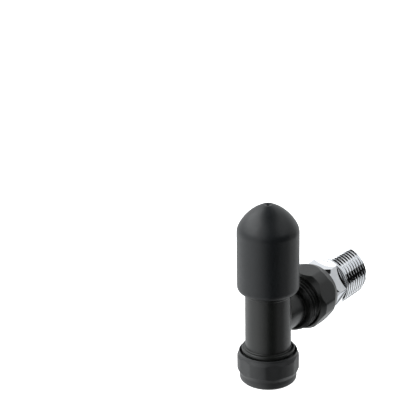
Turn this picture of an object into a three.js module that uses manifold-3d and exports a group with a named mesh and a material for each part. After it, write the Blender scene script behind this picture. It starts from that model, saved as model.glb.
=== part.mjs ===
// Angled lockshield radiator valve: 15 mm compression inlet, 1/2 inch BSP radiator tail.
// Units are millimetres. +Z runs up the valve from the pipe inlet, +X runs out along the tail.
// The origin is the centre of the inlet face, on the underside of the compression nut.
import * as THREE from 'three';
import { mergeVertices } from 'three/addons/utils/BufferGeometryUtils.js';
import Module from 'manifold-3d';

const wasm = await Module();
wasm.setup();

// ---- Driving dimensions ----
const SIDES = 28;                 // facets round the large turned parts
const FINE_SIDES = 20;            // facets round the small inner parts
const CLEAR = 0.3;                // gap between separate pieces

const TAIL_AXIS = 25.5;           // height of the side branch
const BSP_PITCH = 1.814;          // 14 threads per inch
const BSP_MAJOR = 20.955 / 2;     // crest radius of a 1/2 inch BSP thread
const BSP_DEPTH = 1.162;

const TUBE = 15 / 2;              // copper tube the inlet takes
const SOCKET = TUBE + 0.15;
const SOCKET_TOP = 17.5;          // stop shoulder for the tube

const BARREL = 9.0;
const BARREL_TOP = 40.0;
const RING = 9.45;                // raised ring just below the cap
const RING_BASE = 36.7;
const BODY_FOOT = 6.0;
const COLLAR = 10.4;              // crest radius of the inlet's male thread
const COLLAR_TOP = 14.3;
const CHAMBER = 6.7;
const SEAT_TOP = 21.0;
const SEAT_BORE = 4.5;
const HEAD_THREAD_FLOOR = 30.6;   // where the chamber opens out for the headgear
const HEAD_THREAD = 7.5;

const NECK = 8.0;
const NECK_END = 14.4;
const BRANCH_END = 27.0;
const OUTLET = 5.2;
const SPIGOT_SOCKET = 7.3;
const SPIGOT_SOCKET_FLOOR = 20.4;

const NUT_AF = 23.6;              // compression nut, across flats
const NUT_CORNER = 12.15;         // radius its corners are turned down to
const NUT_TOP = 12.8;
const NUT_RIM = 11.45;
const NUT_COLLAR = 11.2;
const NUT_COLLAR_TOP = 3.2;
const NUT_TURN = 13.2;            // one corner of the hexagon, degrees from +X
const NUT_BORE = COLLAR + CLEAR;

const UNION_AF = 23.8;
const UNION_CORNER = 12.6;
const UNION_START = 20.5;
const UNION_END = 34.0;
const UNION_REAR_RIM = 11.35;
const UNION_FRONT_RIM = 11.0;
const UNION_TURN = 7;             // one corner of the hexagon, degrees
const UNION_WALL = 5.0;
const UNION_HOLE = 8.25;
const UNION_BORE = BSP_MAJOR + CLEAR;

const TAIL_END = 58.0;
const TAIL_HEX_START = 34.3;
const TAIL_CHAMFER_END = 36.5;
const TAIL_FLATS_END = 42.2;
const TAIL_AF = 18;
const TAIL_TURN = 31.5;           // normal of one flat, degrees
const TAIL_NECK = 7.9;
const SPIGOT = 7.0;
const SPIGOT_START = 21.0;
const TAIL_BORE = 6.0;
const KEY_AF = 9.0;               // hexagon socket that screws the tail into a radiator
const KEY_END = 30.0;

const CAP_BOTTOM = 38.5;
const CAP_HEM = 2.0;              // height over which the cap's lower edge rounds in
const CAP = 12.1;
const CAP_SHOULDER = 62.5;
const CAP_WALL = 1.4;

const SPINDLE = 3.0;
const SPINDLE_THREAD = 4.4;
const SPINDLE_PITCH = 1.5;
const SPINDLE_SQUARE = 5.0;
const SPINDLE_TOP = 59.0;

// ---- Materials ----
const finish = (color, roughness, metalness) =>
  new THREE.MeshStandardMaterial({ color, roughness, metalness });
const BLACK_COAT = finish(0x2b2e2e, 0.55, 0.2);
const BLACK_PLASTIC = finish(0x262a2d, 0.6, 0.0);
const CHROME = finish(0xdfe3e6, 0.12, 1.0);
const BRASS = finish(0xc3a25a, 0.35, 1.0);
const STEEL = finish(0xa8abad, 0.3, 1.0);
const RUBBER = finish(0x141414, 0.8, 0.0);
const PTFE = finish(0xf0f0ea, 0.5, 0.0);
const NYLON = finish(0xd9d6cc, 0.55, 0.0);

// ---- Solids from three.js geometry ----
function toSolid(geometry) {
  const bare = geometry.clone();
  bare.deleteAttribute('normal');
  bare.deleteAttribute('uv');
  const merged = mergeVertices(bare, 1e-4);
  const source = merged.index.array;
  const triangles = [];
  for (let i = 0; i < source.length; i += 3) {
    const [a, b, c] = [source[i], source[i + 1], source[i + 2]];
    if (a !== b && b !== c && c !== a) triangles.push(a, b, c);
  }
  return new wasm.Manifold(new wasm.Mesh({
    numProp: 3,
    vertProperties: new Float32Array(merged.attributes.position.array),
    triVerts: new Uint32Array(triangles),
  }));
}

function toGeometry(solid) {
  const mesh = solid.getMesh();
  const geometry = new THREE.BufferGeometry();
  geometry.setAttribute('position', new THREE.BufferAttribute(mesh.vertProperties, 3));
  geometry.setIndex(new THREE.BufferAttribute(mesh.triVerts, 1));
  geometry.computeVertexNormals();
  return geometry;
}

// A turned solid about Z from an outline of [radius, height] points.
function turned(outline, sides = SIDES) {
  const touchesAxis = outline.some(([radius]) => radius === 0);
  const loop = touchesAxis ? outline : [...outline, outline[0]];
  let area = 0;
  loop.forEach(([r, z], i) => {
    const [nextR, nextZ] = loop[(i + 1) % loop.length];
    area += r * nextZ - nextR * z;
  });
  const ordered = area > 0 ? loop : [...loop].reverse();
  const geometry = new THREE.LatheGeometry(ordered.map(([r, z]) => new THREE.Vector2(r, z)), sides);
  geometry.rotateX(Math.PI / 2);
  return toSolid(geometry);
}

// The same, about the branch's axis: the outline's heights run along +X.
function turnedAlongX(outline, sides = SIDES) {
  return turned(outline, sides).rotate([0, 90, 0]).translate([0, 0, TAIL_AXIS]);
}

const cylinder = (radius, from, to, sides = SIDES) =>
  turned([[0, from], [radius, from], [radius, to], [0, to]], sides);
const tubeRing = (inner, outer, from, to, sides = SIDES) =>
  turned([[inner, from], [outer, from], [outer, to], [inner, to]], sides);

// A hexagonal bar about Z. `corner` is the direction of one corner, in degrees.
function hexBar(acrossFlats, from, to, corner) {
  const reach = acrossFlats / Math.sqrt(3);
  const outline = new THREE.Shape();
  for (let i = 0; i < 6; i++) {
    const angle = THREE.MathUtils.degToRad(corner + 60 * i);
    const point = [reach * Math.cos(angle), reach * Math.sin(angle)];
    if (i === 0) outline.moveTo(...point);
    else outline.lineTo(...point);
  }
  outline.closePath();
  const bar = new THREE.ExtrudeGeometry(outline, { depth: to - from, bevelEnabled: false });
  bar.translate(0, 0, from);
  return toSolid(bar);
}

// A hexagonal bar about the branch's axis, whose corner direction is counted from +Y towards +Z.
function hexBarAlongX(acrossFlats, from, to, corner) {
  return hexBar(acrossFlats, 0, to - from, corner + 90)
    .rotate([0, 90, 0]).translate([from, 0, TAIL_AXIS]);
}

// Outline points of thread ridges from one height to another.
function ridges(crest, depth, pitch, from, to) {
  const count = Math.floor((to - from) / pitch);
  const points = [];
  for (let i = 0; i < count; i++) {
    const foot = from + i * pitch;
    points.push([crest - depth, foot], [crest, foot + pitch * 0.5]);
  }
  points.push([crest - depth, from + count * pitch]);
  return points;
}

// The turned blank of a plain nut, which takes the corners off both ends of its hexagon.
function nutBlank(acrossFlats, height, chamferRadius) {
  const reach = acrossFlats / Math.sqrt(3) + 1;
  const drop = (reach - chamferRadius) * 0.5;
  return turned([
    [0, 0], [chamferRadius, 0], [reach, drop], [reach, height - drop], [chamferRadius, height], [0, height],
  ]);
}

// A ring of round section, such as an O-ring.
function roundRing(middle, section, height, steps = 6) {
  const outline = [];
  for (let i = 0; i < steps; i++) {
    const angle = (2 * Math.PI * (i + 0.5)) / steps;
    outline.push([middle + section * Math.cos(angle), height + section * Math.sin(angle)]);
  }
  return turned(outline, FINE_SIDES);
}

// ---- Valve body ----
function valveBody() {
  const barrel = turned([
    [0, BODY_FOOT], [COLLAR - BSP_DEPTH, BODY_FOOT],
    ...ridges(COLLAR, BSP_DEPTH, BSP_PITCH, BODY_FOOT + 0.3, COLLAR_TOP - 1.2),
    [COLLAR, COLLAR_TOP - 0.9], [COLLAR, COLLAR_TOP - 0.5], [COLLAR - 0.5, COLLAR_TOP],
    [BARREL, COLLAR_TOP], [BARREL, RING_BASE], [RING, RING_BASE + 0.45],
    [RING, BARREL_TOP - 0.3], [RING - 0.3, BARREL_TOP], [0, BARREL_TOP],
  ]);
  const branch = turnedAlongX([
    [0, 0], [BARREL - 0.05, 4.5], [BARREL - 0.05, 8.2], [NECK + 0.35, 9.6], [NECK, 11.0], [NECK, NECK_END],
    ...ridges(BSP_MAJOR, BSP_DEPTH, BSP_PITCH, NECK_END, BRANCH_END - 0.3),
    [BSP_MAJOR - BSP_DEPTH, BRANCH_END], [0, BRANCH_END],
  ]);
  const inlet = turned([
    [0, BODY_FOOT - 1], [9.2, BODY_FOOT - 1], [SOCKET + 0.1, 9.6], [SOCKET, 9.8], [SOCKET, SOCKET_TOP],
    [5.5, SOCKET_TOP + 0.4], [SEAT_BORE, SEAT_TOP - 1.0], [SEAT_BORE, SEAT_TOP + 1], [0, SEAT_TOP + 1],
  ]);
  const chamber = turned([
    [0, SEAT_TOP], [SEAT_BORE + 0.9, SEAT_TOP], [SEAT_BORE + 1.3, SEAT_TOP - 0.8],
    [CHAMBER, SEAT_TOP - 0.8], [CHAMBER, HEAD_THREAD_FLOOR],
    [HEAD_THREAD, HEAD_THREAD_FLOOR + 0.6], [HEAD_THREAD, BARREL_TOP - 1.2],
    [HEAD_THREAD + 0.8, BARREL_TOP + 0.2], [0, BARREL_TOP + 0.2],
  ]);
  const outlet = turnedAlongX([
    [0, 3], [OUTLET, 3], [OUTLET, SPIGOT_SOCKET_FLOOR], [SPIGOT_SOCKET, SPIGOT_SOCKET_FLOOR],
    [SPIGOT_SOCKET, BRANCH_END - 0.6], [SPIGOT_SOCKET + 0.6, BRANCH_END + 0.2], [0, BRANCH_END + 0.2],
  ]);
  return barrel.add(branch).subtract(inlet).subtract(chamber).subtract(outlet);
}

// ---- Inlet: compression nut and olive ----
function compressionNut() {
  const blank = turned([
    [0, 0], [9.3, 0], [10.3, 0.3], [11.0, 1.0], [NUT_COLLAR, 2.0], [NUT_COLLAR, NUT_COLLAR_TOP],
    [NUT_CORNER, NUT_COLLAR_TOP + 1.5], [NUT_CORNER, NUT_TOP - 2.2], [NUT_RIM, NUT_TOP - 0.9],
    [NUT_RIM, NUT_TOP - 0.2], [NUT_RIM - 0.2, NUT_TOP], [0, NUT_TOP],
  ]);
  const bore = turned([
    [0, -1], [TUBE + 0.2, -1], [TUBE + 0.2, 1.9], [8.9, 4.6], [NUT_BORE, 5.2], [NUT_BORE, NUT_TOP - 0.8],
    [NUT_BORE + 0.25, NUT_TOP - 0.5], [NUT_BORE + 0.25, NUT_TOP + 1], [0, NUT_TOP + 1],
  ]);
  return hexBar(NUT_AF, 0, NUT_TOP, NUT_TURN).intersect(blank).subtract(bore);
}

function olive() {
  return turned([
    [TUBE + 0.05, 2.7], [TUBE + 0.35, 2.7], [8.2, 4.4], [8.35, 6.0], [8.1, 7.4], [TUBE + 0.15, 9.2],
    [TUBE + 0.05, 9.2],
  ], FINE_SIDES);
}

// ---- Outlet: union nut, tailpiece and its rings ----
function unionNut() {
  const height = UNION_END - UNION_START;
  const blank = turned([
    [0, 0], [UNION_REAR_RIM, 0], [UNION_CORNER, 2.6], [UNION_CORNER, height - 4.4],
    [UNION_FRONT_RIM, height], [0, height],
  ]);
  const bore = turned([
    [0, -1], [UNION_BORE + 0.15, -1], [UNION_BORE + 0.15, 0.3], [UNION_BORE, 0.5],
    [UNION_BORE, height - UNION_WALL], [UNION_HOLE, height - UNION_WALL], [UNION_HOLE, height + 1],
    [0, height + 1],
  ]);
  return hexBar(UNION_AF, 0, height, UNION_TURN + 90).intersect(blank).subtract(bore)
    .rotate([0, 90, 0]).translate([UNION_START, 0, TAIL_AXIS]);
}

function tailpiece() {
  const outside = turnedAlongX([
    [0, SPIGOT_START], [SPIGOT - 0.5, SPIGOT_START], [SPIGOT, SPIGOT_START + 0.5], [SPIGOT, 22.9],
    [SPIGOT - 1.0, 22.9], [SPIGOT - 1.0, 24.4], [SPIGOT, 24.4], [SPIGOT, 27.0], [TAIL_NECK, 27.3],
    [TAIL_NECK, 27.6], [TAIL_NECK - 0.7, 27.6], [TAIL_NECK - 0.7, 28.8], [TAIL_NECK, 28.8],
    [TAIL_NECK, TAIL_HEX_START], [TAIL_AF / 2 - 0.15, TAIL_HEX_START], [BSP_MAJOR, TAIL_CHAMFER_END],
    [BSP_MAJOR, TAIL_FLATS_END + 0.4],
    ...ridges(BSP_MAJOR, BSP_DEPTH, BSP_PITCH, TAIL_FLATS_END + 0.8, TAIL_END - 0.4),
    [BSP_MAJOR - BSP_DEPTH - 0.2, TAIL_END], [0, TAIL_END],
  ]);
  const flats = hexBarAlongX(TAIL_AF, TAIL_HEX_START - 1, TAIL_FLATS_END + 1, TAIL_TURN + 30);
  const milled = turnedAlongX([
    [0, TAIL_HEX_START - 0.2], [BSP_MAJOR + 1, TAIL_HEX_START - 0.2],
    [BSP_MAJOR + 1, TAIL_FLATS_END], [0, TAIL_FLATS_END],
  ]).subtract(flats);
  const bore = turnedAlongX([
    [0, KEY_END - 1], [TAIL_BORE, KEY_END], [TAIL_BORE, TAIL_END - 0.6], [TAIL_BORE + 0.8, TAIL_END + 0.2],
    [0, TAIL_END + 0.2],
  ]);
  const key = hexBarAlongX(KEY_AF, SPIGOT_START - 1, KEY_END, 0);
  return outside.subtract(milled).subtract(bore).subtract(key);
}

function tailRetainingRing() {
  const ring = turnedAlongX([[7.5, 27.75], [9.6, 27.75], [9.6, 28.65], [7.5, 28.65]]);
  const gap = toSolid(new THREE.BoxGeometry(3, 3, 5).translate(28.2, 0, TAIL_AXIS - 8.5));
  return ring.subtract(gap);
}

const tailORing = () =>
  roundRing(6.65, 0.45, 23.65).rotate([0, 90, 0]).translate([0, 0, TAIL_AXIS]);

// ---- Headgear, gland and spindle ----
const HEAD_FOOT = 31.0;
const HEAD_HEX = [BARREL_TOP + CLEAR, 44.0];
const HEAD_TOP = 52.0;
const GLAND_FLOOR = 46.4;

function headgear() {
  const outside = turned([
    [0, HEAD_FOOT], [6.7, HEAD_FOOT], [7.15, HEAD_FOOT + 0.5], [7.15, 38.4], [6.3, 38.6],
    [6.3, HEAD_TOP - 4.4], [5.7, HEAD_TOP - 4.2], [5.7, HEAD_TOP - 2.8], [6.3, HEAD_TOP - 2.6],
    [6.3, HEAD_TOP - 0.4], [5.9, HEAD_TOP], [0, HEAD_TOP],
  ], FINE_SIDES);
  const [from, to] = HEAD_HEX;
  const hexagon = hexBar(17, from, to, 0)
    .intersect(nutBlank(17, to - from, 8.3).translate([0, 0, from]));
  const bore = turned([
    [0, HEAD_FOOT - 1], [SPINDLE_THREAD + CLEAR, HEAD_FOOT - 1], [SPINDLE_THREAD + CLEAR, 41.4],
    [SPINDLE + CLEAR, 41.8], [SPINDLE + CLEAR, GLAND_FLOOR], [5.0, GLAND_FLOOR], [5.0, HEAD_TOP + 1],
    [0, HEAD_TOP + 1],
  ], FINE_SIDES);
  return outside.add(hexagon).subtract(bore);
}

const headgearORing = () => roundRing(6.95, 0.4, 39.35);
const glandWasher = () => tubeRing(SPINDLE + CLEAR, 4.7, GLAND_FLOOR + 0.3, GLAND_FLOOR + 1.1, FINE_SIDES);
const glandPacking = () => tubeRing(SPINDLE + CLEAR, 4.7, GLAND_FLOOR + 1.4, GLAND_FLOOR + 3.2, FINE_SIDES);

function glandNut() {
  const foot = GLAND_FLOOR + 3.5;
  const stem = cylinder(4.7, foot, HEAD_TOP + 1, FINE_SIDES);
  const head = hexBar(10, HEAD_TOP + 0.3, HEAD_TOP + 2.8, 0)
    .intersect(nutBlank(10, 2.5, 4.9).translate([0, 0, HEAD_TOP + 0.3]));
  return stem.add(head).subtract(cylinder(SPINDLE + CLEAR, foot - 1, HEAD_TOP + 4, FINE_SIDES));
}

// The spindle's foot ends in a button that the jumper hangs on.
const FOOT_BUTTON = [27.4, 28.4];
function spindle() {
  const shaft = turned([
    [0, FOOT_BUTTON[0]], [2.0, FOOT_BUTTON[0]], [2.0, FOOT_BUTTON[1]], [1.3, FOOT_BUTTON[1]], [1.3, 29.6],
    [3.6, 29.6], ...ridges(SPINDLE_THREAD, 0.7, SPINDLE_PITCH, 30.0, 37.6), [SPINDLE, 37.4],
    [SPINDLE, 44.0], [2.3, 44.0], [2.3, 45.3], [SPINDLE, 45.3], [SPINDLE, 55.4], [0, 55.4],
  ], FINE_SIDES);
  const square = new THREE.BoxGeometry(SPINDLE_SQUARE, SPINDLE_SQUARE, SPINDLE_TOP - 55.2);
  square.translate(0, 0, (SPINDLE_TOP + 55.2) / 2);
  const driver = new THREE.BoxGeometry(SPINDLE_SQUARE + 2, 1.0, 1.4);
  driver.translate(0, 0, SPINDLE_TOP - 0.4);
  const corners = turned([[0, 54], [3.3, 54], [3.3, SPINDLE_TOP - 0.5], [2.8, SPINDLE_TOP + 0.1],
    [0, SPINDLE_TOP + 0.1]], FINE_SIDES);
  return shaft.add(toSolid(square).intersect(corners)).subtract(toSolid(driver));
}

const spindleORing = () => roundRing(2.95, 0.3, 44.65);

// ---- Jumper and its washer ----
function jumper() {
  const outside = turned([
    [0, 23.4], [5.2, 23.4], [5.2, 25.4], [3.6, 26.0], [3.6, 29.2], [0, 29.2],
  ], FINE_SIDES);
  const pocket = turned([
    [0, 27.1], [2.3, 27.1], [2.3, 30], [0, 30],
  ], FINE_SIDES);
  const screwHole = cylinder(1.3, 22, 28, FINE_SIDES);
  return outside.subtract(pocket).subtract(screwHole);
}

// A split clip that closes over the spindle's button inside the jumper's pocket.
function jumperClip() {
  const ring = tubeRing(1.6, 2.0, 28.65, 29.1, FINE_SIDES);
  const gap = toSolid(new THREE.BoxGeometry(3, 1.2, 2).translate(1.8, 0, 28.9));
  return ring.subtract(gap);
}

const seatWasher = () => tubeRing(1.8, 5.5, SEAT_TOP + CLEAR, 23.1, FINE_SIDES);

function washerScrew() {
  const head = turned([
    [0, 20.1], [2.2, 20.1], [2.6, 20.5], [2.6, 21.0], [1.0, 21.0], [1.0, 26.4], [0, 26.4],
  ], FINE_SIDES);
  return head.subtract(toSolid(new THREE.BoxGeometry(6, 0.7, 0.8).translate(0, 0, 20.1)));
}

// ---- Lockshield cap ----
// Half outline of the cap's outer surface: a long nose arc, a shoulder arc, a straight skirt.
const SHOULDER_ARC = 6.5;
const NOSE_ARC = 18.0;
const ARCS_MEET = THREE.MathUtils.degToRad(28);
const DIMPLE = 1.8;

function capOutline(inset, bottom, withDimple) {
  const points = [];
  const shoulder = [CAP - SHOULDER_ARC, CAP_SHOULDER];
  const reach = SHOULDER_ARC - NOSE_ARC;
  const nose = [shoulder[0] + reach * Math.cos(ARCS_MEET), shoulder[1] + reach * Math.sin(ARCS_MEET)];
  const arc = (centre, radius, from, to, steps) => {
    for (let i = 0; i <= steps; i++) {
      const angle = from + ((to - from) * i) / steps;
      points.push([centre[0] + radius * Math.cos(angle), centre[1] + radius * Math.sin(angle)]);
    }
  };
  points.push([CAP - inset, bottom]);
  arc(shoulder, SHOULDER_ARC - inset, 0, ARCS_MEET, 3);
  points.pop();
  const tip = Math.acos((DIMPLE - nose[0]) / (NOSE_ARC - inset));
  arc(nose, NOSE_ARC - inset, ARCS_MEET, tip, 6);
  const top = points[points.length - 1][1];
  if (withDimple) points.push([DIMPLE - 0.5, top], [DIMPLE - 0.9, top - 0.4], [0, top - 0.5]);
  else points.push([0, top]);
  return points;
}

function lockshieldCap() {
  const outer = turned([[0, CAP_BOTTOM], [CAP - 1.2, CAP_BOTTOM], [CAP - 0.5, CAP_BOTTOM + 0.5],
    [CAP - 0.1, CAP_BOTTOM + 1.3], ...capOutline(0, CAP_BOTTOM + CAP_HEM, true)]);
  const inner = turned([[0, CAP_BOTTOM - 1], ...capOutline(CAP_WALL, CAP_BOTTOM - 1, false)], FINE_SIDES);
  return outer.subtract(inner);
}

// The carrier inside the cap: a sleeve with a web that grips the headgear and lets the cap spin.
function capCarrier() {
  const outside = turned([
    [0, 45.0], [10.35, 45.0], [10.35, 56.5], [0, 56.5],
  ], FINE_SIDES);
  const hollow = turned([
    [0, 44], [9.2, 44], [9.2, 47.0], [6.9, 47.6], [6.9, 53.0], [9.2, 53.6], [9.2, 58], [0, 58],
  ], FINE_SIDES);
  return outside.subtract(hollow);
}

const capGripRing = () => roundRing(6.15, 0.4, HEAD_TOP - 3.5);

// ---- Assembly ----
const pieces = [
  ['valve_body', valveBody(), BLACK_COAT],
  ['compression_nut', compressionNut(), BLACK_COAT],
  ['olive', olive(), BRASS],
  ['union_nut', unionNut(), BLACK_COAT],
  ['tailpiece', tailpiece(), CHROME],
  ['tail_o_ring', tailORing(), RUBBER],
  ['tail_retaining_ring', tailRetainingRing(), BRASS],
  ['headgear', headgear(), BRASS],
  ['headgear_o_ring', headgearORing(), RUBBER],
  ['gland_washer', glandWasher(), BRASS],
  ['gland_packing', glandPacking(), PTFE],
  ['gland_nut', glandNut(), BRASS],
  ['spindle', spindle(), BRASS],
  ['spindle_o_ring', spindleORing(), RUBBER],
  ['jumper', jumper(), BRASS],
  ['jumper_clip', jumperClip(), STEEL],
  ['seat_washer', seatWasher(), RUBBER],
  ['washer_screw', washerScrew(), BRASS],
  ['lockshield_cap', lockshieldCap(), BLACK_PLASTIC],
  ['cap_carrier', capCarrier(), NYLON],
  ['cap_grip_ring', capGripRing(), RUBBER],
];

const group = new THREE.Group();
for (const [name, solid, material] of pieces) {
  const mesh = new THREE.Mesh(toGeometry(solid), material);
  mesh.name = name;
  group.add(mesh);
}

export default group;
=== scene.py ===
# Lockshield radiator valve: finished meshes, materials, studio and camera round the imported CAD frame.
# Shapes are worked out in millimetres, in the CAD frame, and turned into metres when a mesh is made.
from math import acos, asin, atan, atan2, cos, pi, radians, sin, sqrt, tan
import bmesh
import bpy
from mathutils import Matrix, Vector


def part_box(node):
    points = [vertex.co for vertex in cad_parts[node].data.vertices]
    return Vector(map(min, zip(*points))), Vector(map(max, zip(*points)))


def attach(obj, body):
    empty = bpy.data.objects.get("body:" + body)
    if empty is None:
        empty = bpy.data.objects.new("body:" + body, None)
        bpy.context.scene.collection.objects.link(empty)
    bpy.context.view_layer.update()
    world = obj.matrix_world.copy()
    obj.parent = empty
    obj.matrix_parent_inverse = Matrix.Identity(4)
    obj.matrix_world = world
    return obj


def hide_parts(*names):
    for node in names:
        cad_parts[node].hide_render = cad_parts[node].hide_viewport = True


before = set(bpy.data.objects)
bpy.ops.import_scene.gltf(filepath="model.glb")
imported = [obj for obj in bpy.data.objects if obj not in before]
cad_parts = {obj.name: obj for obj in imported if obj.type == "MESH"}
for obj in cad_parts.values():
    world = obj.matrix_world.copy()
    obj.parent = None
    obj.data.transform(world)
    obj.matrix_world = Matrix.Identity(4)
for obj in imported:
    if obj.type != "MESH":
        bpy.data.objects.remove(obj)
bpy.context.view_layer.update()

MM = 0.001
TURN = 2 * pi


def node_box(name):
    """Lowest and highest corner of a CAD node, in millimetres."""
    low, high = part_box(name)
    return [c / MM for c in low], [c / MM for c in high]


# ---- Driving dimensions, read from the frame where the frame holds them ----
body_low, body_high = node_box("valve_body")
nut_high = node_box("compression_nut")[1]
union_low, union_high = node_box("union_nut")
tail_low, tail_high = node_box("tailpiece")
cap_low, cap_high = node_box("lockshield_cap")
head_low, head_high = node_box("headgear")
spindle_low, spindle_high = node_box("spindle")

AXIS_HEIGHT = round((tail_low[2] + tail_high[2]) / 2, 2)   # height of the branch's axis
PITCH = 1.814                      # 14 threads per inch, on both pipe threads
THREAD_DEPTH = 1.162
MAJOR = 10.4775                    # crest radius of a 1/2 inch BSP thread
THREAD_CLEAR = 0.14                # gap between a male thread and its nut's thread

BARREL = 9.0
BARREL_TOP = body_high[2]
BODY_FOOT = body_low[2]
RING = 9.45                        # raised ring just under the cap
RING_BASE = 36.7
COLLAR = 10.4                      # crest radius of the inlet's male thread
COLLAR_TOP = 14.3
CHAMBER = 6.7
SEAT_TOP = 21.0
SEAT_BORE = 4.5
HEAD_THREAD = 7.5                  # bore that takes the headgear
SOCKET = 7.65                      # bore that takes the 15 mm tube
SOCKET_TOP = 17.5

NECK = 8.0
NECK_END = 14.4
BRANCH_END = body_high[0]
OUTLET = 5.0
SPIGOT_SOCKET = 7.3
SPIGOT_SOCKET_FLOOR = 20.4
CROTCH = 1.5                       # fillet where the branch leaves the barrel

NUT_FLATS = 23.6
NUT_CORNER = 12.15                 # radius the nut's corners are turned down to
NUT_TOP = nut_high[2]
NUT_TURN = radians(13.2)           # direction of one corner
NUT_COLLAR = 11.2
NUT_COLLAR_TOP = 3.45
NUT_RIM = 11.45
UNION_FLATS = 23.8
UNION_CORNER = 12.6
UNION_REAR_RIM, UNION_FRONT_RIM = 11.35, 11.0
UNION_WALL = 5.0
UNION_START, UNION_END = union_low[0], union_high[0]
UNION_TURN = radians(7)
UNION_HOLE = 8.25
TAIL_FLATS = 18.0
TAIL_TURN = radians(1.5)
TAIL_HEX_START = 34.3
TAIL_FLATS_END = 42.2
TAIL_NECK = 7.9
TAIL_BORE = 6.0
TAIL_START, TAIL_END = tail_low[0], tail_high[0]
KEY_FLATS = 9.0

CAP = cap_high[0]
CAP_BOTTOM = cap_low[2]
CAP_SHOULDER = 62.5
CAP_WALL = 1.4
CAP_HEM = 2.0                      # height over which the cap's lower edge rounds in
SHOULDER_ARC = 6.5
NOSE_ARC = 18.0
ARCS_MEET = radians(28)
DIMPLE = 1.8
PIT = 0.65                         # small hole in the middle of the dimple
FLOOR_DROP = 5.8                   # room under the valve for the inlet nut at the end of its travel

HEAD_FOOT, HEAD_TOP = head_low[2], head_high[2]
GLAND_FLOOR = 46.4
SPINDLE = 3.0
SPINDLE_TOP = spindle_high[2]


# ---- Outlines: lists of (radius, height) ----
def soft(corners, steps=4, closed=True):
    """An outline from corners (radius, height) or (radius, height, fillet), with its fillets as arcs."""
    outline = []
    count = len(corners)
    for i, corner in enumerate(corners):
        here = Vector(corner[:2])
        fillet = corner[2] if len(corner) > 2 else 0
        at_end = not closed and i in (0, count - 1)
        if not fillet or at_end:
            outline.append((here.x, here.y))
            continue
        back = Vector(corners[i - 1][:2]) - here
        ahead = Vector(corners[(i + 1) % count][:2]) - here
        room = 0.48 * min(back.length, ahead.length)
        back.normalize()
        ahead.normalize()
        half = acos(max(-1.0, min(1.0, back.dot(ahead)))) / 2
        if half > 0.49 * pi:
            outline += [(here.x, here.y)] * (steps + 1)
            continue
        reach = min(fillet / tan(half), room)
        radius = reach * tan(half)
        centre = here + (back + ahead).normalized() * radius / sin(half)
        first = here + back * reach - centre
        last = here + ahead * reach - centre
        sweep = first.angle_signed(last)
        start = atan2(first.y, first.x)
        for step in range(steps + 1):
            angle = start - sweep * step / steps
            outline.append((centre.x + radius * cos(angle), centre.y + radius * sin(angle)))
    return outline


def arc(centre, radius, start, end, steps):
    return [(centre[0] + radius * cos(start + (end - start) * i / steps),
             centre[1] + radius * sin(start + (end - start) * i / steps)) for i in range(steps + 1)]


def hexagon(flats, corner, rounding):
    """The radius of a round-cornered hexagon as a function of the angle about its axis."""
    inner = (flats / 2 - rounding) / cos(pi / 6)
    arc_half = pi / 6 - atan((flats / 2 - rounding) * tan(pi / 6) / (flats / 2))

    def radius(angle):
        from_corner = (angle - corner + pi / 6) % (pi / 3) - pi / 6
        if abs(from_corner) < arc_half:
            return inner * cos(from_corner) + sqrt(rounding ** 2 - (inner * sin(from_corner)) ** 2)
        return flats / 2 / cos(pi / 6 - abs(from_corner))
    radius.arc_half = arc_half
    return radius


def turned_hexagon(flats, corner, turned, blend=0.12):
    """The radius of a hexagon whose corners are turned down, each edge softened by `blend`."""
    def radius(angle):
        from_corner = abs((angle - corner + pi / 6) % (pi / 3) - pi / 6)
        flat = flats / 2 / cos(pi / 6 - from_corner)
        overlap = max(blend - abs(flat - turned), 0.0) / blend
        return min(flat, turned) - overlap ** 2 * blend / 4
    return radius


def hexagon_angles(corner, arc_half, per_flat=18, per_corner=6):
    """Directions for a hexagon's columns, close together round each corner."""
    angles = []
    for side in range(6):
        start = corner + side * pi / 3
        angles += [start - arc_half + 2 * arc_half * i / per_corner for i in range(per_corner)]
        flat_start = start + arc_half
        width = pi / 3 - 2 * arc_half
        angles += [flat_start + width * i / per_flat for i in range(per_flat)]
    return angles


def even_angles(count=96):
    return [TURN * i / count for i in range(count)]


def thread(angle, height, crest, depth=THREAD_DEPTH, pitch=PITCH, fade=1.0):
    """Radius of a right-hand round-topped V thread at an angle and a height."""
    phase = (height / pitch - angle / TURN) % 1.0
    slope = abs(2 * phase - 1)                      # 0 at a crest, 1 at a root
    flank = min(max((slope - 0.14) / 0.72, 0.0), 1.0)
    eased = flank + 0.16 * sin(TURN * flank) / pi * -0.5
    return crest - depth * eased * fade


def steps_between(start, end, pace):
    count = max(1, round((end - start) / pace))
    return [start + (end - start) * i / count for i in range(count + 1)]


def blend_in(value, start, end):
    t = min(max((value - start) / (end - start), 0.0), 1.0)
    return t * t * (3 - 2 * t)


# ---- Meshes ----
def up_z(radius, angle, height):
    return (radius * cos(angle), radius * sin(angle), height)


def along_x(radius, angle, height):
    return (height, radius * cos(angle), AXIS_HEIGHT + radius * sin(angle))


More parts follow.
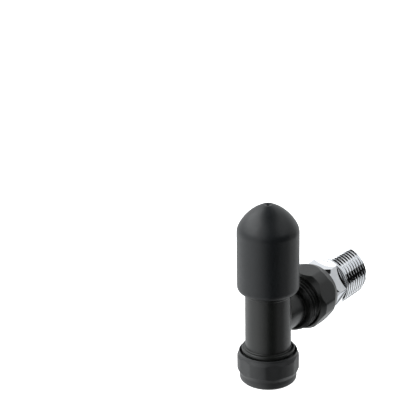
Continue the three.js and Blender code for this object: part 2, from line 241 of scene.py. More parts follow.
class Shell:
    """Vertices and faces of one closed surface."""

    def __init__(self):
        self.points = []
        self.faces = []

    def ring(self, points):
        first = len(self.points)
        self.points += points
        return list(range(first, len(self.points)))

    def bridge(self, lower, upper, closed=True):
        count = len(lower)
        for i in range(count if closed else count - 1):
            j = (i + 1) % count
            self.face(lower[i], lower[j], upper[j], upper[i])

    def face(self, *corners):
        kept = [c for i, c in enumerate(corners) if c not in corners[:i]]
        if len(kept) > 2:
            self.faces.append(kept)

    def skin(self, outline_at, angles, place=up_z, closed=True):
        """Rings of one surface whose outline may change with the angle; returns the rings."""
        columns = [outline_at(angle) for angle in angles]
        rings = []
        for row in range(len(columns[0])):
            if max(column[row][0] for column in columns) < 1e-6:
                pole = self.ring([place(0, 0, columns[0][row][1])])[0]
                rings.append([pole] * len(angles))
            else:
                rings.append(self.ring([place(c[row][0], a, c[row][1]) for a, c in zip(angles, columns)]))
        for lower, upper in zip(rings, rings[1:]):
            self.bridge(lower, upper, closed)
        return rings

    def make(self, name, crease=35):
        mesh = bpy.data.meshes.new(name)
        mesh.from_pydata([[c * MM for c in p] for p in self.points], [], self.faces)
        work = bmesh.new()
        work.from_mesh(mesh)
        bmesh.ops.remove_doubles(work, verts=work.verts, dist=1e-7)
        bmesh.ops.dissolve_degenerate(work, edges=work.edges, dist=1e-7)
        bmesh.ops.recalc_face_normals(work, faces=work.faces)
        work.to_mesh(mesh)
        work.free()
        mesh.shade_smooth()
        mesh.set_sharp_from_angle(angle=radians(crease))
        piece = bpy.data.objects.new(name, mesh)
        bpy.context.scene.collection.objects.link(piece)
        return piece


def spun(name, outline_at, angles=None, place=up_z, closed=True):
    """A solid of revolution, or one whose outline changes with the angle."""
    if not callable(outline_at):
        fixed = outline_at
        outline_at = lambda angle: fixed
    angles = angles or even_angles()
    shell = Shell()
    rings = shell.skin(outline_at, angles, place, closed)
    outline = outline_at(angles[0])
    if outline[0][0] > 1e-6:
        shell.bridge(rings[-1], rings[0], closed)
    if not closed:
        shell.faces.append([ring[0] for ring in rings])
        shell.faces.append([ring[-1] for ring in reversed(rings)])
    return shell.make(name)


def weighted(piece):
    """Lets the large faces keep their own direction where they meet a fillet."""
    modifier = piece.modifiers.new("Weighted normals", "WEIGHTED_NORMAL")
    modifier.keep_sharp = True
    modifier.weight = 60
    return piece


def cut_slot(piece, size, centre):
    """Cuts a box out of a piece for good."""
    cutter_mesh = bpy.data.meshes.new("slot_cutter")
    work = bmesh.new()
    bmesh.ops.create_cube(work, size=1)
    for vertex in work.verts:
        vertex.co = [(c * s + m) * MM for c, s, m in zip(vertex.co, size, centre)]
    work.to_mesh(cutter_mesh)
    work.free()
    cutter = bpy.data.objects.new("slot_cutter", cutter_mesh)
    bpy.context.scene.collection.objects.link(cutter)
    modifier = piece.modifiers.new("Slot", "BOOLEAN")
    modifier.object = cutter
    modifier.solver = "EXACT"
    graph = bpy.context.evaluated_depsgraph_get()
    cut = bpy.data.meshes.new_from_object(piece.evaluated_get(graph))
    piece.modifiers.remove(modifier)
    piece.data = cut
    cut.shade_smooth()
    cut.set_sharp_from_angle(angle=radians(35))
    bpy.data.objects.remove(cutter)
    bpy.data.meshes.remove(cutter_mesh)
    return piece


# ---- Valve body: barrel and branch in one casting ----
FRONT = 48                         # columns on the half of the barrel that the branch leaves
BACK = 48
ROWS = 24                          # rows of the barrel beside the branch
PATCH_LOW, PATCH_HIGH = 15.0, 36.3
INNER_LOW, INNER_HIGH = 20.2, 31.0
BARREL_ANGLES = [-pi / 2 + pi * i / FRONT for i in range(FRONT)]
BARREL_ANGLES += [pi / 2 + pi * i / BACK for i in range(BACK)]


def border(low, high):
    """Angle and height of the points round the front patch of the barrel, counted from its low left."""
    across = [-pi / 2 + pi * i / FRONT for i in range(FRONT + 1)]
    up = [low + (high - low) * i / ROWS for i in range(ROWS + 1)]
    points = [(a, low) for a in across]
    points += [(pi / 2, z) for z in up[1:-1]]
    points += [(a, high) for a in reversed(across)]
    points += [(-pi / 2, z) for z in reversed(up[1:-1])]
    return points


BRANCH_ANGLES = [atan2(z - AXIS_HEIGHT, BARREL * a) for a, z in border(PATCH_LOW, PATCH_HIGH)]


def tee_patch(shell, below, above, branch, radius, bore, fillet, low, high, branch_start):
    """Joins three tubes: the barrel below and above, and the branch that leaves it along +X."""
    heights = [low + (high - low) * i / ROWS for i in range(ROWS + 1)]
    back_angles = BARREL_ANGLES[FRONT:] + [BARREL_ANGLES[0] + TURN]
    rows = [below[FRONT:] + [below[0]]]
    for height in heights[1:-1]:
        rows.append(shell.ring([up_z(radius, a, height) for a in back_angles]))
    rows.append(above[FRONT:] + [above[0]])
    for lower, upper in zip(rows, rows[1:]):
        shell.bridge(lower, upper, closed=False)
    loop = below[:FRONT + 1] + [row[0] for row in rows[1:-1]]
    loop += list(reversed(above[:FRONT + 1])) + [row[-1] for row in reversed(rows[1:-1])]

    edge = border(low, high)
    contact, ball_centres, leave = [], [], []
    for angle in BRANCH_ANGLES:
        y = (bore + fillet) * cos(angle)
        z = AXIS_HEIGHT + (bore + fillet) * sin(angle)
        x = sqrt((radius + fillet) ** 2 - y * y)
        ball_centres.append(Vector((x, y, z)))
        contact.append((atan2(y, x), z))
        leave.append(x)
    previous = loop
    spread = 7
    for step in range(1, spread + 1):
        share = (step / spread) ** 0.8
        ring = shell.ring([
            up_z(radius, a + (ca - a) * share, z + (cz - z) * share)
            for (a, z), (ca, cz) in zip(edge, contact)])
        shell.bridge(previous, ring)
        previous = ring
    arcs = 7 if fillet else 0
    for step in range(1, arcs + 1):
        points = []
        for angle, centre, x in zip(BRANCH_ANGLES, ball_centres, leave):
            to_barrel = Vector((-centre.x, -centre.y, 0)).normalized()
            to_branch = Vector((0, -cos(angle), -sin(angle)))
            points.append(tuple(centre + to_barrel.slerp(to_branch, step / arcs) * fillet))
        ring = shell.ring(points)
        shell.bridge(previous, ring)
        previous = ring
    for share in (0.3, 0.65):
        ring = shell.ring([along_x(bore, a, x + (branch_start - x) * share)
                           for a, x in zip(BRANCH_ANGLES, leave)])
        shell.bridge(previous, ring)
        previous = ring
    shell.bridge(previous, branch)


def body_foot(angle):
    """From the chamber floor down through the seat and the tube socket, round the foot, and up outside."""
    inside = soft([
        (CHAMBER, INNER_LOW), (SEAT_BORE + 1.3, INNER_LOW, 0.2), (SEAT_BORE + 0.9, SEAT_TOP, 0.15),
        (SEAT_BORE, SEAT_TOP, 0.3), (SEAT_BORE, SEAT_TOP - 1.2, 0.3), (5.5, SOCKET_TOP + 0.4, 0.2),
        (SOCKET, SOCKET_TOP, 0.2), (SOCKET, 9.7, 0.3), (9.1, BODY_FOOT, 0.15),
        (COLLAR - THREAD_DEPTH, BODY_FOOT)], closed=False)
    outside = []
    last = COLLAR_TOP - 1.1
    for height in steps_between(BODY_FOOT + 0.15, last, PITCH / 16):
        fade = 1 - blend_in(height, last - 1.3, last)
        start = COLLAR - THREAD_DEPTH + (height - BODY_FOOT) * 1.1
        outside.append((min(thread(angle, height, COLLAR, fade=fade), start), height))
    shoulder = soft([
        (COLLAR, last + 0.1), (COLLAR, COLLAR_TOP, 0.55), (BARREL, COLLAR_TOP, 0.35),
        (BARREL, PATCH_LOW)], closed=False)
    return inside + outside + shoulder


def body_head(angle):
    """From the barrel's wall up over the ring under the cap, and down inside to the chamber."""
    return soft([
        (BARREL, PATCH_HIGH), (BARREL, RING_BASE, 0.2), (RING, RING_BASE + 0.4, 0.25),
        (RING, BARREL_TOP, 0.35), (HEAD_THREAD + 0.8, BARREL_TOP, 0.15), (HEAD_THREAD, BARREL_TOP - 1.2, 0.1),
        (HEAD_THREAD, INNER_HIGH + 0.7, 0.2), (CHAMBER, INNER_HIGH)], closed=False)


def body_branch(angle):
    """From the neck out over the union thread, and back inside to the outlet bore."""
    neck = soft([
        (NECK, 11.6), (NECK, NECK_END, 0.3), (MAJOR - THREAD_DEPTH, NECK_END)], closed=False)
    ridges = []
    for x in steps_between(NECK_END + 0.1, BRANCH_END - 0.1, PITCH / 16):
        lead_in = MAJOR - THREAD_DEPTH + min(x - NECK_END, BRANCH_END - x) * 1.2
        ridges.append((min(thread(angle, x, MAJOR), lead_in), x))
    inside = soft([
        (MAJOR - THREAD_DEPTH - 0.1, BRANCH_END), (SPIGOT_SOCKET + 0.6, BRANCH_END, 0.1),
        (SPIGOT_SOCKET, BRANCH_END - 0.7, 0.2), (SPIGOT_SOCKET, SPIGOT_SOCKET_FLOOR, 0.2),
        (OUTLET, SPIGOT_SOCKET_FLOOR, 0.2), (OUTLET, 9.0)], closed=False)
    return neck + ridges + inside


def valve_body():
    shell = Shell()
    foot = shell.skin(body_foot, BARREL_ANGLES)
    head = shell.skin(body_head, BARREL_ANGLES)
    branch = shell.skin(body_branch, BRANCH_ANGLES, along_x)
    tee_patch(shell, foot[-1], head[0], branch[0], BARREL, NECK, CROTCH, PATCH_LOW, PATCH_HIGH, 11.6)
    tee_patch(shell, foot[0], head[-1], branch[-1], CHAMBER, OUTLET, 0, INNER_LOW, INNER_HIGH, 9.0)
    return weighted(shell.make("body_casting"))


# ---- Nuts ----
NUT_COLUMNS = 192                  # columns round a nut, enough for crisp flats


def compression_nut():
    radius_at = turned_hexagon(NUT_FLATS, NUT_TURN, NUT_CORNER)
    rim_foot = NUT_TOP - 0.85
    thread_from, thread_to = 5.4, NUT_TOP - 1.4
    mouth = 11.08

    def outline(angle):
        reach = radius_at(angle)
        foot = NUT_COLLAR_TOP + (reach - NUT_COLLAR) * 2.0
        shoulder = rim_foot - (reach - NUT_RIM) * 1.9
        outside = soft([
            (7.7, 0.0, 0.2), (10.1, 0.0, 0.7), (11.1, 0.9, 1.0), (NUT_COLLAR + 0.05, 2.2, 0.8),
            (NUT_COLLAR, NUT_COLLAR_TOP, 0.4), (reach, foot, 0.6), (reach, shoulder, 0.4),
            (NUT_RIM, rim_foot, 0.3), (NUT_RIM, NUT_TOP, 0.15), (mouth, NUT_TOP, 0.12),
            (mouth - 0.05, NUT_TOP - 1.0, 0.1)])
        ridges = [(min(mouth - 0.05, thread(angle, z, COLLAR + THREAD_CLEAR) + 1.5 * (1 - blend_in(
            min(z - thread_from, thread_to - z), 0.0, 0.8))), z)
            for z in reversed(steps_between(thread_from, thread_to, PITCH / 16))]
        inside = soft([(9.6, 5.2), (8.9, 4.6, 0.1), (7.7, 1.9, 0.2), (7.7, 0.4)], closed=False)
        return outside + ridges + inside
    return weighted(spun("compression_nut_shell", outline, even_angles(NUT_COLUMNS)))


def union_nut():
    radius_at = turned_hexagon(UNION_FLATS, UNION_TURN, UNION_CORNER)
    thread_to = BRANCH_END + 0.1
    seat = UNION_END - UNION_WALL
    mouth = 10.95

    def outline(angle):
        reach = radius_at(angle)
        rear = UNION_START + (reach - UNION_REAR_RIM) * 2.1
        front = UNION_END - (reach - UNION_FRONT_RIM) * 2.75
        outside = soft([
            (mouth, UNION_START, 0.12), (UNION_REAR_RIM, UNION_START, 0.2), (reach, rear, 0.4),
            (reach, front, 1.6), (UNION_FRONT_RIM, UNION_END, 0.5), (UNION_HOLE, UNION_END, 0.3),
            (UNION_HOLE, seat, 0.15), (10.8, seat, 0.15), (10.8, thread_to + 0.2)])
        start = UNION_START + 0.4
        ridges = [(min(mouth, thread(angle, x, MAJOR + THREAD_CLEAR) + 1.5 * (1 - blend_in(
            min(x - start, thread_to - x), 0.0, 0.8))), x)
            for x in reversed(steps_between(start, thread_to, PITCH / 16))]
        return outside + ridges
    return weighted(spun("union_nut_shell", outline, even_angles(NUT_COLUMNS), along_x))


def olive():
    return spun("olive_ring", soft([
        (7.55, 2.7, 0.1), (7.85, 2.7, 0.1), (8.2, 4.4, 1.0), (8.35, 6.0, 1.5), (8.1, 7.4, 1.0),
        (7.65, 9.2, 0.05),
        (7.55, 9.2, 0.05)]))


# ---- Tail ----
def tailpiece():
    radius_at = turned_hexagon(TAIL_FLATS, TAIL_TURN, MAJOR - 0.06, 0.05)
    key_at = hexagon(KEY_FLATS, pi / 2, 0.25)
    spigot = 7.0
    key_end = 30.0
    chamfer_rim = TAIL_FLATS / 2 - 0.4

    def outline(angle):
        flat = radius_at(angle)
        key = key_at(angle)
        chamfer = TAIL_HEX_START + (flat - chamfer_rim) * 1.9
        front = soft([
            (key, TAIL_START, 0.15), (spigot, TAIL_START, 0.4), (spigot, 22.9, 0.1),
            (spigot - 1.0, 22.9, 0.1),
            (spigot - 1.0, 24.4, 0.1), (spigot, 24.4, 0.1), (spigot, 27.0, 0.1), (TAIL_NECK, 27.2, 0.1),
            (TAIL_NECK, 27.6, 0.1), (TAIL_NECK - 0.7, 27.6, 0.1), (TAIL_NECK - 0.7, 28.8, 0.1),
            (TAIL_NECK, 28.8, 0.1), (TAIL_NECK, TAIL_HEX_START, 0.2), (chamfer_rim, TAIL_HEX_START, 0.1),
            (flat, chamfer, 0.15), (flat, TAIL_FLATS_END, 0.62),
            (0.15 * flat + 0.85 * MAJOR, TAIL_FLATS_END), (MAJOR, TAIL_FLATS_END, 0.1),
            (MAJOR, TAIL_FLATS_END + 0.5)])
        ridges = []
        for x in steps_between(TAIL_FLATS_END + 0.55, TAIL_END - 0.06, PITCH / 18):
            fade = blend_in(x, TAIL_FLATS_END + 0.5, TAIL_FLATS_END + 1.2)
            lead_in = MAJOR - 0.5 + (TAIL_END - x) * 1.2
            ridges.append((min(thread(angle, x, MAJOR, fade=fade), lead_in), x))
        rear = soft([
            (MAJOR - THREAD_DEPTH - 0.15, TAIL_END, 0.05), (TAIL_BORE + 0.8, TAIL_END, 0.15),
            (TAIL_BORE, TAIL_END - 0.8, 0.2), (TAIL_BORE, key_end + 0.6, 0.1), (key, key_end, 0.1)])
        return front + ridges + rear
    return weighted(spun("radiator_tail", outline, even_angles(NUT_COLUMNS), along_x))


def split_ring(name, outline, gap_middle, gap_half, place=up_z, columns=72):
    start = gap_middle + gap_half
    sweep = TURN - 2 * gap_half
    angles = [start + sweep * i / columns for i in range(columns + 1)]
    return spun(name, outline, angles, place, closed=False)


def tail_retaining_ring():
    outline = soft([(7.5, 27.75, 0.1), (9.6, 27.75, 0.15), (9.6, 28.65, 0.15), (7.5, 28.65, 0.1)])
    return split_ring("tail_snap_ring", outline, -pi / 2, asin(1.5 / 8.5), along_x)


def o_ring(name, middle, section, height, place=up_z):
    return spun(name, arc((middle, height), section, 0, TURN, 20)[:-1], place=place)


# ---- Headgear, gland and spindle ----
def headgear():
    hex_low, hex_high = BARREL_TOP + 0.3, 44.0
    radius_at = hexagon(17.0, 0, 0.4)

    def outline(angle):
        reach = radius_at(angle)
        drop = (reach - 8.3) * 0.5
        screw = [(min(7.15, thread(angle, z, 7.15, 0.75, 1.5)), z)
                 for z in steps_between(HEAD_FOOT + 0.6, 38.2, 1.5 / 12)]
        upper = soft([
            (6.3, 38.6, 0.1), (6.3, hex_low, 0.1), (8.3, hex_low, 0.1), (reach, hex_low + drop, 0.2),
            (reach, hex_high - drop, 0.2), (8.3, hex_high, 0.2), (6.3, hex_high, 0.2),
            (6.3, HEAD_TOP - 4.4, 0.1), (5.7, HEAD_TOP - 4.2, 0.1), (5.7, HEAD_TOP - 2.8, 0.1),
            (6.3, HEAD_TOP - 2.6, 0.1), (6.3, HEAD_TOP, 0.35), (5.0, HEAD_TOP, 0.2), (5.0, GLAND_FLOOR, 0.1),
            (SPINDLE + 0.3, GLAND_FLOOR, 0.1), (SPINDLE + 0.3, 41.8, 0.1), (4.7, 41.4, 0.1),
            (4.7, HEAD_FOOT, 0.2), (6.5, HEAD_FOOT)])
        return screw + upper
    return weighted(spun("headgear_turned", outline, hexagon_angles(0, radius_at.arc_half, 14, 4)))


def washer(name, inner, outer, low, high, fillet=0.1):
    return spun(name, soft([
        (inner, low, fillet), (outer, low, fillet), (outer, high, fillet), (inner, high, fillet)]))


def gland_nut():
    radius_at = hexagon(10.0, 0, 0.3)
    low, high = HEAD_TOP + 0.3, HEAD_TOP + 2.8
    foot = GLAND_FLOOR + 3.5
    bore = SPINDLE + 0.3

    def outline(angle):
        reach = radius_at(angle)
        drop = (reach - 4.9) * 0.5
        return soft([
            (bore, foot, 0.1), (4.7, foot, 0.15), (4.7, low, 0.05), (4.9, low, 0.05),
            (reach, low + drop, 0.12),
            (reach, high - drop, 0.15), (4.9, high, 0.12), (bore, high, 0.2)])
    return weighted(spun("gland_nut_turned", outline, hexagon_angles(0, radius_at.arc_half, 10, 4)))


def spindle():
    half_square = 2.5

    def square_at(angle):
        folded = (angle + pi / 4) % (pi / 2) - pi / 4
        return min(half_square / cos(folded), 3.3)

    def outline(angle):
        square = square_at(angle)
        foot = soft([
            (0, spindle_low[2]), (2.0, spindle_low[2], 0.2), (2.0, 28.4, 0.15), (1.3, 28.4, 0.1),
            (1.3, 29.6, 0.1),
            (3.6, 29.6)], closed=False)
        screw = [(min(thread(angle, z, 4.4, 0.7, 1.5), 3.6 + (z - 29.7) * 1.2, 3.1 + (37.5 - z) * 1.2), z)
                 for z in steps_between(29.75, 37.4, 1.5 / 12)]
        shaft = soft([
            (SPINDLE, 37.5), (SPINDLE, 44.0, 0.1), (2.3, 44.0, 0.1), (2.3, 45.3, 0.1), (SPINDLE, 45.3, 0.1),
            (SPINDLE, 55.2, 0.2), (square, 55.5, 0.05), (square, SPINDLE_TOP, 0.35), (0, SPINDLE_TOP)],
            closed=False)
        return foot + screw + shaft
    piece = spun("spindle_turned", outline, even_angles(96))
    return weighted(cut_slot(piece, (9, 1.0, 2.2), (0, 0, SPINDLE_TOP)))


# ---- Jumper and its washer ----
def jumper():
    return spun("jumper_turned", soft([
        (1.3, 23.4, 0.1), (5.2, 23.4, 0.2), (5.2, 25.4, 0.2), (3.6, 26.0, 0.2), (3.6, 29.2, 0.2),
        (2.3, 29.2, 0.1), (2.3, 27.1, 0.1), (1.3, 27.1, 0.1)]))


def jumper_clip():
    outline = soft([(1.6, 28.65, 0.08), (2.0, 28.65, 0.08), (2.0, 29.1, 0.08), (1.6, 29.1, 0.08)])
    return split_ring("jumper_snap_clip", outline, 0, asin(0.6 / 1.8), columns=48)


def washer_screw():
    piece = spun("jumper_screw", soft([
        (0, 20.1), (2.2, 20.1, 0.2), (2.6, 20.5, 0.1), (2.6, 21.0, 0.05), (1.0, 21.0, 0.05), (1.0, 26.4, 0.2),
        (0, 26.4)], closed=False))
    return cut_slot(piece, (8, 0.7, 0.8), (0, 0, 20.1))


# ---- Cap ----
def cap_arcs(inset, steps):
    """The cap's dome: a shoulder arc that runs into a longer nose arc."""
    shoulder = (CAP - SHOULDER_ARC, CAP_SHOULDER)
    reach = SHOULDER_ARC - NOSE_ARC
    nose = (shoulder[0] + reach * cos(ARCS_MEET), shoulder[1] + reach * sin(ARCS_MEET))
    tip = acos((DIMPLE - nose[0]) / (NOSE_ARC - inset))
    dome = arc(shoulder, SHOULDER_ARC - inset, 0, ARCS_MEET, steps)
    return dome + arc(nose, NOSE_ARC - inset, ARCS_MEET, tip, 2 * steps)[1:]


def lockshield_cap():
    outside = cap_arcs(0, 12)
    tip = outside[-1][1]
    roll = CAP_WALL - 0.1
    outer = [(CAP - roll + roll * x, CAP_BOTTOM + CAP_HEM * (1 + z))
             for x, z in arc((0, 0), 1, -pi / 2, 0, 10)]
    wall = [(CAP, z) for z in steps_between(CAP_BOTTOM + 6, CAP_SHOULDER - 1, 4)]
    dimple = soft([outside[-2], (DIMPLE, tip, 0.15), (PIT, tip - 0.3, 0.1), (PIT - 0.15, tip - 0.9, 0.1),
                   (0, tip - 0.95)], closed=False)[1:]
    inside = cap_arcs(CAP_WALL, 8)
    top = inside[-1][1]
    inner_wall = [(CAP - CAP_WALL, CAP_BOTTOM + 0.4)]
    outline = outer + wall + outside[:-1] + dimple
    outline += [(0, top)] + list(reversed(inside)) + inner_wall
    shell = Shell()
    rings = shell.skin(lambda angle: outline, even_angles(128))
    shell.bridge(rings[-1], rings[0])
    return weighted(shell.make("cap_shell"))


def cap_carrier():
    return weighted(spun("cap_carrier_sleeve", soft([
        (9.2, 45.0, 0.2), (10.35, 45.0, 0.3), (10.35, 56.5, 0.3), (9.2, 56.5, 0.2), (9.2, 53.6, 0.3),
        (6.9, 53.0, 0.4), (6.9, 47.6, 0.4), (9.2, 47.0, 0.3)])))


# ---- Materials ----
class Finish:
    """A Principled material and short ways to feed it."""

    def __init__(self, name, **sockets):
        self.material = bpy.data.materials.new(name)
        self.material.use_nodes = True
        self.tree = self.material.node_tree
        self.shader = self.tree.nodes["Principled BSDF"]
        for socket, value in sockets.items():
            self.shader.inputs[socket.replace("_", " ")].default_value = value
        self.place = self.add("ShaderNodeTexCoord").outputs["Object"]

    def add(self, kind, links=(), **settings):
        node = self.tree.nodes.new(kind)
        for key, value in settings.items():
            if hasattr(node, key):
                setattr(node, key, value)
            else:
                node.inputs[key.replace("_", " ")].default_value = value
        for socket, source in dict(links).items():
            self.tree.links.new(source, node.inputs[socket])
        return node

    def noise(self, grain, detail=3.0, stretch=None):
        """Noise whose grain is about this many millimetres across."""
        place = self.place
        if stretch:
            scaled = self.add("ShaderNodeMapping", {"Vector": place})
            scaled.inputs["Scale"].default_value = stretch
            place = scaled.outputs["Vector"]
        node = self.add("ShaderNodeTexNoise", {"Vector": place}, Detail=detail, Scale=1 / (grain * MM))
        return node.outputs["Fac"]

    def ramp(self, source, low, high, start=0.3, end=0.7):
        node = self.add("ShaderNodeMapRange", {"Value": source})
        for socket, value in zip(("From Min", "From Max", "To Min", "To Max"), (start, end, low, high)):
            node.inputs[socket].default_value = value
        return node.outputs["Result"]

    def colours(self, source, dark, light, start=0.3, end=0.7):
        node = self.add("ShaderNodeValToRGB", {"Fac": source})
        for element, position, colour in zip(node.color_ramp.elements, (start, end), (dark, light)):
            element.position = position
            element.color = (*colour, 1)
        self.feed("Base Color", node.outputs["Color"])

    def feed(self, socket, source):
        self.tree.links.new(source, self.shader.inputs[socket])

    def bumps(self, *layers):
        """Each layer is (height source, depth in millimetres)."""
        normal = None
        for height, depth in layers:
            links = {"Height": height}
            if normal:
                links["Normal"] = normal
            node = self.add("ShaderNodeBump", links, Strength=1.0, Distance=depth * MM)
            normal = node.outputs["Normal"]
        self.feed("Normal", normal)


def black_coat():
    """Satin black lacquer over machined brass."""
    finish = Finish("black_coat", Specular_IOR_Level=0.5)
    finish.colours(finish.noise(5.0), (0.0105, 0.0115, 0.0105), (0.0145, 0.0155, 0.0142))
    finish.feed("Roughness", finish.ramp(finish.noise(0.9, 4), 0.28, 0.37))
    finish.bumps((finish.noise(0.7, 2), 0.012), (finish.noise(0.22, 2), 0.006))
    return finish.material


def nut_coat_painted_light():
    """The same lacquer, matter, over the coarser machining of the compression nut; its paler base colour is
    painted light, for the light the floor throws up onto the nut.
    """
    finish = Finish("nut_coat_painted_light", Specular_IOR_Level=0.47)
    # Paler base colour than black_coat: painted light from the floor below, not a different lacquer.
    finish.colours(finish.noise(5.0), (0.027, 0.028, 0.029), (0.034, 0.035, 0.036))
    finish.feed("Roughness", finish.ramp(finish.noise(0.9, 4), 0.38, 0.48))
    finish.bumps((finish.noise(0.7, 2), 0.014), (finish.noise(0.22, 2), 0.008))
    return finish.material


def black_plastic():
    """Moulded cap with a fine matt texture."""
    finish = Finish("black_plastic", Specular_IOR_Level=0.5)
    finish.colours(finish.noise(7.0), (0.0080, 0.0095, 0.0110), (0.0112, 0.0132, 0.0152))
    finish.feed("Roughness", finish.ramp(finish.noise(1.2, 4), 0.36, 0.44))
    finish.bumps((finish.noise(0.35, 3), 0.010))
    return finish.material


def chrome():
    """Bright plating, with the faintest unevenness of polished brass under it."""
    finish = Finish("chrome", Metallic=1.0)
    finish.colours(finish.noise(3.0), (0.80, 0.82, 0.85), (0.90, 0.91, 0.93))
    finish.feed("Roughness", finish.ramp(finish.noise(0.5, 4), 0.03, 0.07))
    finish.bumps((finish.noise(1.8, 2), 0.003))
    return finish.material


def turned_metal(name, dark, light, low, high):
    """Machined metal with turning marks round its axis."""
    finish = Finish(name, Metallic=1.0)
    marks = finish.noise(0.12, 2, stretch=(0.02, 0.02, 1.0))
    finish.colours(finish.noise(1.5, 4), dark, light)
    finish.feed("Roughness", finish.ramp(marks, low, high))
    finish.bumps((marks, 0.006))
    return finish.material


def moulded(name, dark, light, low, high, grain=0.4):
    """A soft or moulded material with a fine grain."""
    finish = Finish(name)
    finish.colours(finish.noise(2.0, 4), dark, light)
    finish.feed("Roughness", finish.ramp(finish.noise(grain, 3), low, high))
    finish.bumps((finish.noise(grain, 2), 0.008))
    return finish.material


FINISHES = {
    "black_coat": black_coat(),
    "nut_coat_painted_light": nut_coat_painted_light(),
    "black_plastic": black_plastic(),
    "chrome": chrome(),
    "brass": turned_metal("brass", (0.58, 0.40, 0.15), (0.76, 0.56, 0.25), 0.20, 0.38),
    "steel": turned_metal("steel", (0.44, 0.45, 0.46), (0.60, 0.61, 0.62), 0.20, 0.34),
    "rubber": moulded("rubber", (0.008, 0.008, 0.008), (0.018, 0.018, 0.018), 0.60, 0.78),
    "ptfe": moulded("ptfe", (0.78, 0.78, 0.74), (0.88, 0.88, 0.85), 0.38, 0.52),
    "nylon": moulded("nylon", (0.60, 0.58, 0.50), (0.72, 0.70, 0.62), 0.40, 0.55),
}

# ---- Pieces: what each CAD node becomes, its body and its finish ----
PIECES = [
    ("valve_body", valve_body(), "valve", "black_coat"),
    ("compression_nut", compression_nut(), "compression_nut", "black_coat"),
    ("olive", olive(), "olive", "brass"),
    ("union_nut", union_nut(), "union_nut", "black_coat"),
    ("tailpiece", tailpiece(), "tail", "chrome"),
    ("tail_o_ring", o_ring("tail_seal", 6.65, 0.45, 23.65, along_x), "tail", "rubber"),
    ("tail_retaining_ring", tail_retaining_ring(), "retaining_ring", "brass"),
    ("headgear", headgear(), "valve", "brass"),
    ("headgear_o_ring", o_ring("headgear_seal", 6.95, 0.4, 39.35), "valve", "rubber"),
    ("gland_washer", washer("gland_brass_washer", 3.3, 4.7, 46.7, 47.5), "valve", "brass"),
    ("gland_packing", washer("gland_ptfe_packing", 3.3, 4.7, 47.8, 49.6, 0.2), "valve", "ptfe"),
    ("gland_nut", gland_nut(), "valve", "brass"),
    ("spindle", spindle(), "spindle", "brass"),
    ("spindle_o_ring", o_ring("spindle_seal", 2.95, 0.3, 44.65), "spindle", "rubber"),
    ("jumper", jumper(), "jumper", "brass"),
    ("jumper_clip", jumper_clip(), "jumper", "steel"),
    ("seat_washer", washer("jumper_washer", 1.8, 5.5, 21.3, 23.1, 0.2), "jumper", "rubber"),
    ("washer_screw", washer_screw(), "jumper", "brass"),
    ("lockshield_cap", lockshield_cap(), "cap", "black_plastic"),
    ("cap_carrier", cap_carrier(), "cap_carrier", "nylon"),
    ("cap_grip_ring", o_ring("cap_grip_seal", 6.15, 0.4, 48.5), "valve", "rubber"),
]
for node, piece, body, slot in PIECES:
    piece.data.materials.clear()
    # The compression nut gets the paler copy of the lacquer, whose lighter base colour is painted light from
    # the floor below.
    piece.data.materials.append(FINISHES["nut_coat_painted_light" if node == "compression_nut" else slot])
    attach(piece, body)
    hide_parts(node)

# ---- Studio ----
CAMERA_AZIMUTH = -54.35
CAMERA_ELEVATION = 21.64
CAMERA_ROLL = radians(-0.89)
CAMERA_DISTANCE = 700.0            # along the view, to the plane through the aim point
CAMERA_LENS = 162.04
AIM = Vector((0, 0, 29.5))
AIM_RIGHT, AIM_DOWN = 26.48, 42.92  # where the aim point lies from the middle of the view


def toward(azimuth, elevation):
    """Unit vector from the object to a place at this azimuth and elevation, in degrees."""
    a, e = radians(azimuth), radians(elevation)
    return Vector((sin(a) * cos(e), -cos(a) * cos(e), sin(e)))


def make_camera():
    back = toward(CAMERA_AZIMUTH, CAMERA_ELEVATION)
    level = Vector((cos(radians(CAMERA_AZIMUTH)), sin(radians(CAMERA_AZIMUTH)), 0))
    upright = back.cross(level)
    right = level * cos(CAMERA_ROLL) + upright * sin(CAMERA_ROLL)
    up = upright * cos(CAMERA_ROLL) - level * sin(CAMERA_ROLL)
    data = bpy.data.cameras.new("camera")
    data.lens = CAMERA_LENS
    data.sensor_width = 36
    data.clip_start = 0.01
    data.clip_end = 20
    camera = bpy.data.objects.new("camera", data)
    bpy.context.scene.collection.objects.link(camera)
    place = (AIM + back * CAMERA_DISTANCE - right * AIM_RIGHT + up * AIM_DOWN) * MM
    camera.matrix_world = Matrix.Translation(place) @ Matrix((right, up, back)).transposed().to_4x4()
    bpy.context.scene.camera = camera


def make_floor():
    """A pale floor, seen directly but left out of reflections, below the compression nut's lowest travel."""
    half = 4.0
    height = (min(c.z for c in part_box("compression_nut")) / MM - FLOOR_DROP) * MM
    mesh = bpy.data.meshes.new("floor")
    mesh.from_pydata([(-half, -half, height), (half, -half, height), (half, half, height),
                      (-half, half, height)],
                     [], [(0, 1, 2, 3)])
    floor = bpy.data.objects.new("floor", mesh)
    bpy.context.scene.collection.objects.link(floor)
    finish = Finish("floor", Roughness=0.9, Specular_IOR_Level=0.1, Emission_Strength=1.0)
    finish.shader.inputs["Emission Color"].default_value = (1, 1, 1, 1)
    finish.colours(finish.noise(200.0), (0.90, 0.90, 0.90), (0.92, 0.92, 0.92))
    mesh.materials.append(finish.material)
    floor.visible_glossy = False
    floor.visible_diffuse = False


BASE_LIGHT = 0.95
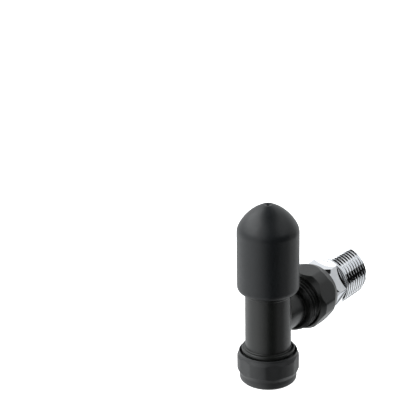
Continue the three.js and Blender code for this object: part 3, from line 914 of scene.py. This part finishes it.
# Soft boxes and dark screens painted over the even light, one over another. Each has its sides (left, right)
# in degrees of azimuth from the camera, its (low, high) elevation, the width of its soft edge at each of
# the four, and its strength.
PATCHES = [
    ((-180, 180), (-90, -58), (1, 1, 1, 14), 0.50),
    ((-180, 180), (62, 90), (1, 1, 8, 1), 0.01),
    ((-138, -54), (26, 60), (14, 12, 12, 8), 3.0),
    ((-120, -5), (-58, -15), (40, 5, 12, 8), 0.95),
    ((-120, -56), (-58, -15), (40, 10, 12, 8), 1.35),
    ((86, 130), (-60, -25), (18, 25, 12, 8), 1.05),
    ((90, 120), (4, 32), (5, 14, 6, 8), 0.58),
    ((98, 116), (-20, -2), (5, 5, 3, 4), 0.004),
    ((-4, 58), (-80, -15), (6, 40, 12, 5), 0.52),
    ((-4, 24), (-80, -15), (5, 30, 12, 5), 0.01),
    ((-4, 24), (26, 70), (8, 34, 8, 8), 0.03),
    ((-24, 62), (-20, 4), (4, 5, 3, 4), 0.004),
    ((24, 84), (-20, 18), (5, 5, 3, 5), 0.004),
    ((-23, -14), (-24, -15), (3, 3, 4, 2), 0.01),
    ((67, 83), (-24, -15), (4, 4, 4, 2), 0.01),
    ((-12, 22), (9, 29), (6, 6, 4, 5), 0.004),
]


def make_world():
    world = bpy.data.worlds.new("studio")
    bpy.context.scene.world = world
    world.use_nodes = True
    tree = world.node_tree
    tree.nodes.clear()

    def add(kind, links=(), **settings):
        node = tree.nodes.new(kind)
        for key, value in settings.items():
            setattr(node, key, value)
        for socket, source in dict(links).items():
            tree.links.new(source, node.inputs[socket])
        return node

    def reckon(operation, *terms):
        """A math node over sockets and plain numbers."""
        node = add("ShaderNodeMath", operation=operation)
        for socket, term in zip(node.inputs, terms):
            if isinstance(term, (int, float)):
                socket.default_value = term
            else:
                tree.links.new(term, socket)
        return node.outputs[0]

    def along(axis):
        node = add("ShaderNodeVectorMath", {0: direction}, operation="DOT_PRODUCT")
        node.inputs[1].default_value = axis
        return node.outputs["Value"]

    def step(value, start, end):
        """Rises from 0 to 1 between two angles, in degrees."""
        node = add("ShaderNodeMapRange", {"Value": value}, interpolation_type="SMOOTHSTEP")
        node.inputs["From Min"].default_value = radians(start)
        node.inputs["From Max"].default_value = radians(end)
        return node.outputs["Result"]

    direction = add("ShaderNodeTexCoord").outputs["Generated"]
    azimuth = reckon("ARCTAN2", along(toward(CAMERA_AZIMUTH + 90, 0)), along(toward(CAMERA_AZIMUTH, 0)))
    elevation = reckon("ARCSINE", along((0, 0, 1)))
    light = BASE_LIGHT
    for (left, right), (low, high), (left_edge, right_edge, low_edge, high_edge), strength in PATCHES:
        across = reckon("MULTIPLY", step(azimuth, left - left_edge, left),
                        reckon("SUBTRACT", 1.0, step(azimuth, right, right + right_edge)))
        upward = reckon("MULTIPLY", step(elevation, low - low_edge, low),
                        reckon("SUBTRACT", 1.0, step(elevation, high, high + high_edge)))
        cover = reckon("MULTIPLY", across, upward)
        light = reckon("MULTIPLY_ADD", cover, reckon("SUBTRACT", strength, light), light)
    studio = add("ShaderNodeBackground", {"Strength": light})
    studio.inputs["Color"].default_value = (0.97, 0.99, 1.0, 1)
    backdrop = add("ShaderNodeBackground")
    backdrop.inputs["Color"].default_value = (1, 1, 1, 1)
    rays = add("ShaderNodeLightPath")
    mixed = add("ShaderNodeMixShader", {0: rays.outputs["Is Camera Ray"], 1: studio.outputs[0],
                                        2: backdrop.outputs[0]})
    add("ShaderNodeOutputWorld", {"Surface": mixed.outputs[0]})


make_camera()
make_floor()
make_world()
bpy.context.scene.view_settings.view_transform = "Standard"
